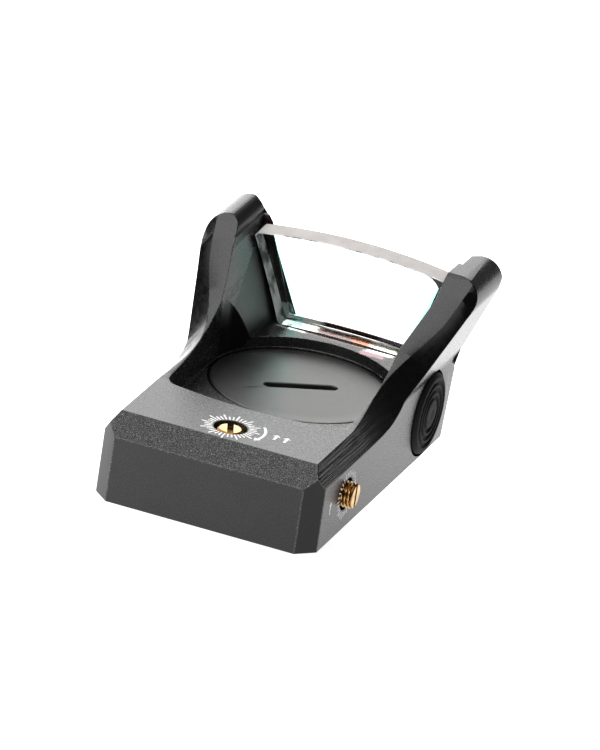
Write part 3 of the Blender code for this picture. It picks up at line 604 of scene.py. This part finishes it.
def housing_finish(face):
    """Which of the housing's finishes a face has, from where it is and which way it faces.

    What a part of the normal is compared with is a cosine.
    """
    nx, ny, nz = face.normal
    middle = face.calc_center_median()
    x, y, z = middle.x / MM, (middle.y - REAR_Y) / MM, middle.z / MM
    aside, sideways = abs(x), abs(nx)
    if ny < -0.5 and nz > 0.5 and y < REAR_TOP_CHAMFER_Y:
        return COARSE
    if sideways > 0.35 and nz > 0.25 and aside > BAND_X and z > BAND_Z and y < BAND_END_Y:
        return MILLED  # the bands along the tops of the fins
    if y < REAR_CORNER_Y and ny < -0.3 and sideways > 0.3 and abs(nz) < 0.3:
        return SMOOTH  # the two upright corners
    if sideways > 0.8 and nz < -0.15 and z > DECK_Z and aside > SIDE_X:
        return SMOOTH  # the flared outer sides
    if y > CHANNEL_Y and z > CHANNEL_Z and nx * x < 0.0 and sideways > 0.28 and aside < CHANNEL_X:
        return SHADED  # the channel's walls
    # The front notch's faces get painted light: a far lighter grey on the notch's groove and on the post's
    # underside there, faces that look down into shade.
    if aside > GROOVE_X and y > GROOVE_Y and GROOVE_Z[0] < z < GROOVE_Z[1] and 0.2 < sideways < 0.97:
        return NOTCH_PAINTED_LIGHT
    below_post = aside > BELOW_POST_X and y > BELOW_POST_Y and BELOW_POST_Z[0] < z < BELOW_POST_Z[1]
    if below_post and ny > 0.3 and sideways > 0.6:
        return NOTCH_PAINTED_LIGHT
    if ny < -0.7 and y > LIP_Y and aside < LIP_X:
        return LIP
    if nz > 0.9 and y > LEDGE_Y and LEDGE_Z[0] < z < LEDGE_Z[1]:
        return LEDGE
    return BLASTED


def edge_finish(face):
    """The rear edges are worn: they catch the light in specks."""
    middle = face.calc_center_median()
    y, z = (middle.y - REAR_Y) / MM, middle.z / MM
    if y < WORN_Y and WORN_Z[0] < z < WORN_Z[1] and abs(face.normal.x) < 0.9:
        return WORN
    return housing_finish(face)


def round_over(y):
    """The outline, at a distance y, of what rounding takes from the left horn's inner top edge."""
    middle_x, middle_z = ROUNDING_MIDDLE
    across, up = ROUNDING_REACH
    inner_x, above_z = ROUNDING_OUTSIDE
    angles = [math.radians(a) for a in spread(90.0, 182.0, 12)]
    curve = [(middle_x + across * math.cos(a), middle_z + up * math.sin(a)) for a in angles]
    outline = [(middle_x, above_z), *curve, (inner_x, middle_z - 0.1), (inner_x, above_z)]
    return [(-x, y, z) for x, z in outline]


def make_housing():
    cutter = strip([round_over(ROUNDED_FROM_Y), round_over(ROUNDED_TO_Y)])
    rounded_off = carve(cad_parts["housing"].data.copy(), *cutter)
    mesh = soften(rounded_off, HOUSING_BEVEL, housing_finish, edge_finish)
    finishes = [  # in the order of BLASTED to NOTCH_PAINTED_LIGHT
        anodised("housing_blasted", grain=0.018, speckle=0.1),
        anodised("housing_coarse", 0.003, 0.34, grain=0.07, grain_scale=6.5, speckle=1.0, specular=0.3),
        milled("housing_milled"),
        anodised("housing_smooth", 0.005, 0.17, grain=0.005, specular=0.35),
        anodised("housing_worn", 0.012, 0.3, grain=0.02, grain_scale=6.0, speckle=1.0),
        anodised("housing_shaded", 0.004, 0.35, grain=0.01, specular=0.18),
        ledge("housing_ledge"),
        seat_lip("housing_lip"),
        # painted light: a grey far lighter than the black, for the shaded faces at the front notch
        anodised("housing_notch_painted_light", 0.14, 0.4),
    ]
    made = piece("housing_shell", "housing_body", mesh, finishes, ["housing"])
    step = made.modifiers.new("flat_faces", "WEIGHTED_NORMAL")
    step.keep_sharp = True
    step.weight = 80


# ---------------------------------------------------------------- index marks


def mark(outline, surface, thickness=0.02):
    """A thin closed plate: an outline on a surface, which maps (across, along, height) to a point."""
    return strip([[surface(a, b, h) for a, b in outline] for h in (-0.01, thickness)])


def on_deck(across, along, height):
    return (ELEVATION[0] + across, ELEVATION[1] + along, DECK_Z + height)


def on_side(across, along, height):
    return (SIDE_X + height, WINDAGE[1] + across, WINDAGE[2] + along)


def ticks(inner, short, long, width, count, every):
    """Radial strokes round a screw; each one that every counts is longer. Their ends are uneven."""
    outlines = []
    for i in range(count):
        a = 2 * math.pi * (i + 0.35) / count
        uneven = 0.05 * math.sin(7.3 * i) + 0.04 * math.sin(2.1 * i + 1.0)
        outer = (long if i % every == 0 else short) + uneven
        half = width / 2 * (1.0 + 0.1 * math.sin(3.7 * i))
        out, side = Vector((math.cos(a), math.sin(a))), Vector((-math.sin(a), math.cos(a)))
        corners = [out * inner - side * half * 0.8, out * (outer - half) - side * half, out * outer,
                   out * (outer - half) + side * half, out * inner + side * half * 0.8]
        outlines.append([tuple(c) for c in corners])
    return outlines


def curved_arrow(radius, start, end, width, head):
    """A band along an arc, from start to end in degrees, with a solid head at its end."""

    def point(angle, reach):
        return (reach * math.cos(angle), reach * math.sin(angle))

    band = arc((0.0, 0.0), radius + width / 2, start, end, 14)
    band += reversed(arc((0.0, 0.0), radius - width / 2, start, end, 14))
    root = math.radians(end)
    tip = root + math.copysign(head * 1.5 / radius, end - start)
    arrow_head = [point(root, radius - head), point(root, radius + head * 0.75), point(tip, radius)]
    return [band, arrow_head]


def small_arrow(middle, length, width):
    """A straight arrow that points along the surface's second direction."""
    x, y = middle
    half = width / 2
    head = width * 1.5
    low = y - length / 2
    top = y + length / 2
    neck = top - head * 1.1
    return [[(x - half, low), (x + half, low), (x + half, neck), (x - half, neck)],
            [(x - head, neck), (x + head, neck), (x, top)]]


def make_marks(name, outlines, surface, paint):
    points, faces = [], []
    for outline in outlines:
        more_points, more_faces = mark(outline, surface)
        base = len(points)
        points += more_points
        faces += [[base + i for i in face] for face in more_faces]
    piece(name, "housing_body", mesh_from(name, points, faces), [paint], smooth=20.0)


def make_index_marks():
    white = ink("index_white")
    ring = ticks(inner=2.36, short=3.35, long=3.9, width=0.23, count=36, every=3)
    turning = curved_arrow(radius=4.45, start=37.0, end=-17.0, width=0.36, head=0.6)
    make_marks("elevation_index", ring + turning, on_deck, white)
    pair = [outline for x in (5.9, 7.3) for outline in small_arrow((x, 0.6), length=1.7, width=0.36)]
    make_marks("elevation_arrow", pair, on_deck, white)
    ring = ticks(inner=2.4, short=3.2, long=3.3, width=0.2, count=30, every=3)
    make_marks("windage_index", ring, on_side, white)
    make_marks("windage_arrow", small_arrow((-5.9, 0.1), length=1.7, width=0.32), on_side, white)


# ---------------------------------------------------------------- screws


def threaded_rings(length, centre, axis, chamfer, outer, sides=64, per_pitch=8):
    """Rings of a screw's thread, a true helix that fades out at the end, then the chamfered end.

    chamfer is the end's depth along the axis and its reduction in radius.
    """
    deep, narrow = chamfer
    rings = []
    rows = int(length / SCREW_PITCH * per_pitch)
    for j in range(rows + 1):
        along = -length + j * length / rows
        fade = min(1.0, -along / 0.25)
        widest = outer - narrow / deep * max(0.0, deep + along)
        ring = []
        for i in range(sides):
            phase = (along / SCREW_PITCH - i / sides) % 1.0
            tooth = min(1.0, max(0.0, 1.6 * abs(2.0 * phase - 1.0) - 0.25))
            radius = min(outer - THREAD_DEPTH * tooth * fade, widest)
            ring.append(round_point(centre, axis, along, radius, 2 * math.pi * i / sides))
        rings.append(ring)
    return rings


def slot_cutter(corners, low, high):
    """A cutter for a slot, upright from low to high, from its corners seen from above."""
    return strip([[(x, y, z) for x, y in corners] for z in (low, high)])


CLEAN, PAINTED_SHADE = range(2)


def paint_groove_shade(mesh, top, axis):
    """Gives a screw's grooves, slot and chamfer the second finish, a darker brass that is painted shade; its
    end and crests keep the first.
    """
    top = place(top)
    for polygon in mesh.polygons:
        arm = (polygon.center - top) / MM
        along, facing = (arm.z, polygon.normal.z) if axis == "z" else (arm.x, polygon.normal.x)
        outward = arm.xy if axis == "z" else arm.yz
        on_end = facing > 0.95 and along > -0.1
        on_crest = outward.length > SCREW_RADIUS - 0.24 and along < -0.2
        polygon.material_index = CLEAN if on_end or on_crest else PAINTED_SHADE


def make_elevation_screw(brasses):
    x, y, z = ELEVATION
    stem = turn([(0.85, -7.25), (0.95, -7.15), (0.95, -2.4)], ELEVATION, "z", 64)
    thread = threaded_rings(2.35, ELEVATION, "z", chamfer=(0.3, 0.45), outer=SCREW_RADIUS - 0.02)
    mesh = mesh_from("elevation_screw", *strip(stem + thread))
    half, deep = ELEVATION_SLOT
    c, s = math.cos(ELEVATION_SLOT_TURN), math.sin(ELEVATION_SLOT_TURN)
    ends = [(-half, -3.0), (half, -3.0), (half, 3.0), (-half, 3.0)]
    corners = [(x + a * c - b * s, y + a * s + b * c) for a, b in ends]
    mesh = carve(mesh, *slot_cutter(corners, z - deep, z + 1.0))
    paint_groove_shade(mesh, ELEVATION, "z")
    piece("elevation_threaded", "elevation_adjuster", mesh, brasses, ["elevation_screw"])


def make_windage_screw(brasses):
    x, y, z = WINDAGE
    stem = turn([(0.45, -12.75), (0.5, -12.65), (0.5, -11.85), (0.8, -11.75), (0.8, -8.8)], WINDAGE, "x", 64)
    thread = threaded_rings(8.75, WINDAGE, "x", chamfer=(0.22, 0.2), outer=SCREW_RADIUS - 0.13)
    mesh = mesh_from("windage_screw", *strip(stem + thread))
    half, deep = WINDAGE_SLOT
    corners = [(x - deep, y - half), (x + 1.0, y - half), (x + 1.0, y + half), (x - deep, y + half)]
    mesh = carve(mesh, *slot_cutter(corners, z - 3.0, z + 3.0))
    paint_groove_shade(mesh, WINDAGE, "x")
    piece("windage_threaded", "windage_adjuster", mesh, brasses, ["windage_screw"])


def make_screws():
    machined = (1.5, 9.0, 9.0)
    brass = metal("brass_screws", (0.83, 0.55, 0.22), 0.16, wear=0.35, streak=machined, grain=0.006)
    # painted shade: a darker, duller brass that stands for the shade in the grooves, slot and chamfer
    painted_shade_brass = metal("brass_painted_groove_shade", (0.42, 0.22, 0.07), 0.32, wear=0.5, streak=machined, grain=0.006)
    make_elevation_screw([brass, painted_shade_brass])
    make_windage_screw([brass, painted_shade_brass])


# ---------------------------------------------------------------- cap and button


def coin_slot_ring(z, grow):
    """The coin slot's outline at a height, grown on all sides."""
    long, wide, _ = COIN_SLOT
    ends = arc(((long - wide) / 2, 0.0), wide / 2, -90, 90, 16)
    ends += arc(((wide - long) / 2, 0.0), wide / 2, 90, 270, 16)
    c, s = math.cos(COIN_SLOT_TURN), math.sin(COIN_SLOT_TURN)
    ring = []
    for x, y in ends:
        along = x * (1 + 2 * grow / long)
        across = y * (1 + 2 * grow / wide)
        ring.append((along * c - across * s, CELL_Y + along * s + across * c, z))
    return ring


def make_cap():
    face = turned_metal("cap_turned", (0.0, CELL_Y, 0.0), roughness=0.35, specular=0.68)
    centre = (0.0, CELL_Y, 0.0)
    hollow_radius, ceiling_z = CAP_HOLLOW
    neck_radius, foot_radius, neck_z = CAP_PLUG
    rim_width, rim_height = CAP_RIM
    face_z = CAP_TOP_Z - rim_height
    profile = [
        (hollow_radius, CAP_BOTTOM_Z),
        (foot_radius, CAP_BOTTOM_Z),
        (neck_radius, neck_z),
        (neck_radius, CAP_SKIRT_Z),
        (CAP_RADIUS, CAP_SKIRT_Z),
        (CAP_RADIUS, CAP_TOP_Z),
        (CAP_RADIUS - rim_width, CAP_TOP_Z),
        (CAP_RADIUS - rim_width, face_z),
        (9.0, face_z),
        (0.2, face_z),
    ]
    inner = [(0.2, ceiling_z - 0.15), (9.0, ceiling_z), (hollow_radius, ceiling_z)]
    rings = turn(inner, centre) + turn(rounded(profile, 0.14), centre)
    mesh = mesh_from("cap_turned_face", *strip(rings))
    foot = coin_slot_ring(CAP_TOP_Z - COIN_SLOT[2], -0.05)
    wall = coin_slot_ring(CAP_TOP_Z - 0.16, 0.0)
    mouth = coin_slot_ring(face_z, 0.1)
    above = coin_slot_ring(CAP_TOP_Z + 0.5, 0.1)
    mesh = carve(mesh, *strip([foot, wall, mouth, above]))
    piece("cap_turned_face", "cap", mesh, [face], ["battery_cap"])


def make_button():
    face = rubber("button_rubber", 0.004, 0.62)
    top = BUTTON_PROUD
    profile = [(0.05, BUTTON_REAR), (BUTTON_RADIUS - 0.4, BUTTON_REAR), (BUTTON_RADIUS, BUTTON_REAR + 0.3),
               (BUTTON_RADIUS, top - 0.5), (BUTTON_RADIUS - 0.5, top - 0.05)]
    wide, deep = BUTTON_GROOVE
    for radius in BUTTON_GROOVES:
        profile += [(radius + 0.2, top), (radius, top - deep)]
        profile += [(radius - wide, top - deep), (radius - wide - 0.2, top)]
    profile += [(0.9, top), (0.05, top - 0.1)]
    rings = turn(rounded(profile, 0.16), BUTTON, "x", 96)
    mesh = mesh_from("button_ridged", *strip(rings))
    piece("button_ridged", "button", mesh, [face], ["button_pad"], smooth=50.0)


# ---------------------------------------------------------------- lens


def lens_point(x, up, forward):
    """A point of the lens from its place on the rear surface: across, up from its axis, and forward."""
    depth = forward - (x * x + up * up) / (2 * LENS_SPHERE)
    y = LENS_AXIS[0] + depth * math.cos(LENS_TILT) - up * math.sin(LENS_TILT)
    z = LENS_AXIS[1] + up * math.cos(LENS_TILT) + depth * math.sin(LENS_TILT)
    return (x, y, z)


def lens_outline(inset=0.0):
    """The lens seen along its axis, as (x, up): a trapezium with an arched top and small cut corners."""
    low = LENS_BOTTOM_Z - LENS_AXIS[1] + inset
    high = LENS_TOP_Z - LENS_AXIS[1] - inset
    bottom = LENS_HALF_BOTTOM - inset
    top = LENS_HALF_TOP - inset
    corner = LENS_CORNER
    half = [(0.0, low), (bottom - corner, low), (bottom, low + corner)]
    half += [(top, high - corner - 0.1), (top - corner, high)]
    for t in spread(1.0, 0.0, 12)[1:-1]:
        x = t * (top - corner)
        half.append((x, high + LENS_ARCH * (1.0 - (x / top) ** 2)))
    half.append((0.0, high + LENS_ARCH))
    sides = []
    for (ax, ay), (bx, by) in zip(half, half[1:]):
        parts = max(1, int(math.hypot(bx - ax, by - ay)))  # about a millimetre each
        for t in spread(0.0, 1.0, parts)[:-1]:
            sides.append((ax + (bx - ax) * t, ay + (by - ay) * t))
    return sides + [half[-1]] + [(-x, z) for x, z in reversed(sides[1:])]


POLISHED, RIM_TOP, RIM_SIDE, RIM_FOOT = range(4)


def make_lens():
    edge = lens_outline(LENS_BEVEL)
    whole = lens_outline()
    shrink = [1.0, 0.85, 0.7, 0.55, 0.4, 0.25, 0.1]
    rear = [[lens_point(x * s, up * s, 0.0) for x, up in edge] for s in reversed(shrink)]
    front = [[lens_point(x * s, up * s, LENS_THICKNESS) for x, up in edge] for s in shrink]
    rim = [[lens_point(x, up, f) for x, up in whole] for f in (LENS_BEVEL, LENS_THICKNESS - LENS_BEVEL)]
    points, faces = strip(rear + rim + front)
    mesh = mesh_from("lens_coated", points, faces)
    count = len(edge)
    for polygon in mesh.polygons:
        row = min(polygon.vertices) // count
        if len(shrink) - 1 <= row <= len(shrink) + 1 and polygon.loop_total == 4:
            polygon.material_index = RIM_SIDE
            if abs(polygon.normal.z) > 0.7:
                polygon.material_index = RIM_TOP if polygon.normal.z > 0.0 else RIM_FOOT
    finishes = [  # in the order of POLISHED to RIM_FOOT
        polished_glass("lens_polished", fringe=(0.34, 1.0, 0.84)),
        ground_glass("lens_ground", (0.43, 0.405, 0.39), (0.39, 0.36, 0.345)),
        ground_glass("lens_ground_side", (0.85, 0.86, 0.88), (0.1, 0.1, 0.1)),
        lens_foot("lens_foot"),
    ]
    piece("lens_coated", "housing_body", mesh, finishes, ["reflex_lens"], smooth=20.0)


def make_corner_bead():
    """A bead of dark cement that rounds the lens's top right corner."""
    top = LENS_TOP_Z - LENS_AXIS[1]
    start = Vector((10.3, top + 0.2))
    bend = Vector((12.0, top - 0.2))
    end = Vector((12.5, top - 2.6))
    curve = [start.lerp(bend, t).lerp(bend.lerp(end, t), t) for t in spread(0.0, 1.0, 10)]
    outline = [(p.x, p.y) for p in curve] + [(13.3, top - 2.2), (13.4, top - 0.15), (12.0, top + 0.08)]
    points, faces = strip([[lens_point(x, up, f) for x, up in outline] for f in (-0.1, -0.01)])
    mesh = mesh_from("lens_corner_bead", points, faces)
    cement_and_painted_reflection = plastic("cement_grey", (0.09, 0.09, 0.09), 0.45, 0.01)
    piece("lens_corner_bead", "housing_body", mesh, [cement_and_painted_reflection])


# ---------------------------------------------------------------- the CAD nodes that stay


def dress_nodes():
    """Gives each CAD node that is still shown its own finish."""
    steel = metal("steel", (0.6, 0.6, 0.61), 0.28)
    brass = metal("brass", (0.8, 0.56, 0.26), 0.28)
    black_rubber = rubber("seal_rubber")
    board = plastic("board_green", (0.02, 0.13, 0.06), 0.35)
    finishes = {
        "base_plate": anodised("plate_black", 0.02, 0.4),
        "base_gasket": black_rubber,
        "cap_o_ring": black_rubber,
        "cap_contact": steel,
        "cell_contact": steel,
        "coin_cell": metal("cell_steel", (0.7, 0.7, 0.69), 0.24, 0.1),
        "circuit_board": board,
        "switch_board": board,
        "control_chip": plastic("chip_black", (0.02, 0.02, 0.02), 0.35),
        "tact_switch": steel,
        "emitter_window": polished_glass("window_glass"),
        "emitter_block": plastic("block_black", (0.02, 0.02, 0.02), 0.4),
        "led_emitter": plastic("led_red", (0.55, 0.03, 0.02), 0.2),
        "emitter_flex": plastic("flex_amber", (0.5, 0.24, 0.04), 0.3),
        "elevation_clip": steel,
        "elevation_slider": brass,
        "elevation_spring": steel,
        "windage_foot": brass,
        "windage_spring": steel,
        "button_plunger": plastic("plunger_black", (0.02, 0.02, 0.02), 0.4),
        # the seal's foot carries the same painted reflection as the lips
        "lens_seal": seat_lip("seal_painted_reflection"),
    }
    for i in range(1, 5):
        finishes[f"base_screw_{i}"] = steel
    for node, material in finishes.items():
        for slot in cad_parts[node].material_slots:
            slot.material = material


# ---------------------------------------------------------------- studio


FLOOR_X = ((-45.0, 1.5), (20.0, 0.8))  # the painted light's glow at two places across, held beyond them
FLOOR_Y = ((5.0, 1.0), (45.0, 1.7))  # and what it is multiplied by at two places ahead
FLOOR_Z = -0.02
FLOOR_MIDDLE = (0.0, 26.5, 0.0)


def make_floor():
    """A white floor whose glow is painted light: its emission stands for the lamps' light on it, brighter
    towards the key light on its left and dimmest at its near right.
    """
    look = Look("floor_white", (0.25, 0.25, 0.25), 0.9, Specular_IOR_Level=0.0,
                Emission_Color=(1.0, 1.0, 1.0, 1.0))
    paper = look.noise(0.02, 2.0)
    look.colour(look.mix(paper, (0.24, 0.24, 0.24), (0.26, 0.26, 0.26)))
    place_of = look.places()
    (left, left_glow), (right, right_glow) = FLOOR_X
    (near, near_factor), (far, far_factor) = FLOOR_Y
    across = look.spread(place_of["X"], left, right, left_glow, right_glow)
    ahead = look.spread(place_of["Y"], REAR + near, REAR + far, near_factor, far_factor)
    # painted light: the strength of the floor's emission
    look.feed("Emission Strength", look.maths("MULTIPLY", across, ahead))
    rings = turn([(radius, FLOOR_Z) for radius in (0.0001, 200.0, 4000.0)], FLOOR_MIDDLE, "z", 48)
    made = bpy.data.objects.new("floor", mesh_from("floor", *strip(rings, capped=False)))
    bpy.context.scene.collection.objects.link(made)
    made.data.materials.append(look.material)


# Soft boxes, as (azimuth, elevation) they shine from, the cosines at their rim and core, and radiance.
# Azimuth 0 is ahead of the sight and grows to the right.
SOFT_BOXES = (
    ((-40.0, 28.0), (0.80, 0.90), 2.9),
    ((-150.0, 63.0), (0.66, 0.88), 2.7),
)
DIM_ROOM = 0.12


def soft_box(tree, direction, box):
    """The radiance that a soft box adds in a direction."""
    (azimuth, elevation), (rim, core), radiance = box
    a, e = math.radians(azimuth), math.radians(elevation)
    facing = tree.nodes.new("ShaderNodeVectorMath")
    facing.operation = "DOT_PRODUCT"
    tree.links.new(direction, facing.inputs[0])
    facing.inputs[1].default_value = (math.sin(a) * math.cos(e), math.cos(a) * math.cos(e), math.sin(e))
    inside = tree.nodes.new("ShaderNodeMapRange")
    inside.interpolation_type = "SMOOTHSTEP"
    tree.links.new(facing.outputs["Value"], inside.inputs["Value"])
    inside.inputs["From Min"].default_value = rim
    inside.inputs["From Max"].default_value = core
    inside.inputs["To Max"].default_value = radiance
    return inside.outputs["Result"]


def make_world():
    """A dim studio with large soft boxes: the key to the front left, a second overhead."""
    world = bpy.data.worlds.new("studio")
    world.use_nodes = True
    tree = world.node_tree
    direction = tree.nodes.new("ShaderNodeTexCoord").outputs["Generated"]
    room = tree.nodes.new("ShaderNodeValue")
    room.outputs[0].default_value = DIM_ROOM
    total = room.outputs[0]
    for box in SOFT_BOXES:
        brighter = tree.nodes.new("ShaderNodeMath")
        brighter.operation = "ADD"
        tree.links.new(soft_box(tree, direction, box), brighter.inputs[0])
        tree.links.new(total, brighter.inputs[1])
        total = brighter.outputs[0]
    background = tree.nodes["Background"]
    background.inputs["Color"].default_value = (1.0, 1.0, 1.0, 1.0)
    tree.links.new(total, background.inputs["Strength"])
    bpy.context.scene.world = world


CAMERA_PLACE = (0.390925, -1.235344, 0.546518)  # in the model's frame, in metres
CAMERA_TURN = (17.486, 22.413, 8.608)  # azimuth, elevation and roll in degrees
FOCAL_LENGTH = 529.72  # millimetres, for a sensor SENSOR_WIDTH wide
SENSOR_WIDTH = 36.0


def make_camera():
    azimuth, elevation, roll = (math.radians(a) for a in CAMERA_TURN)
    data = bpy.data.cameras.new("camera")
    data.lens = FOCAL_LENGTH
    data.sensor_width = SENSOR_WIDTH
    data.clip_end = 10.0
    camera = bpy.data.objects.new("camera", data)
    bpy.context.scene.collection.objects.link(camera)
    back = Vector((math.sin(azimuth) * math.cos(elevation), -math.cos(azimuth) * math.cos(elevation),
                   math.sin(elevation)))
    level = Vector((math.cos(azimuth), math.sin(azimuth), 0.0))
    above = back.cross(level)
    right = math.cos(roll) * level + math.sin(roll) * above
    up = -math.sin(roll) * level + math.cos(roll) * above
    turn_to = Matrix((right, up, back)).transposed().to_4x4()
    camera.matrix_world = Matrix.Translation(CAMERA_PLACE) @ turn_to
    bpy.context.scene.camera = camera
    bpy.context.scene.view_settings.view_transform = "Standard"


make_camera()
make_world()
make_floor()
make_housing()
make_index_marks()
make_screws()
make_cap()
make_button()
make_lens()
make_corner_bead()
dress_nodes()
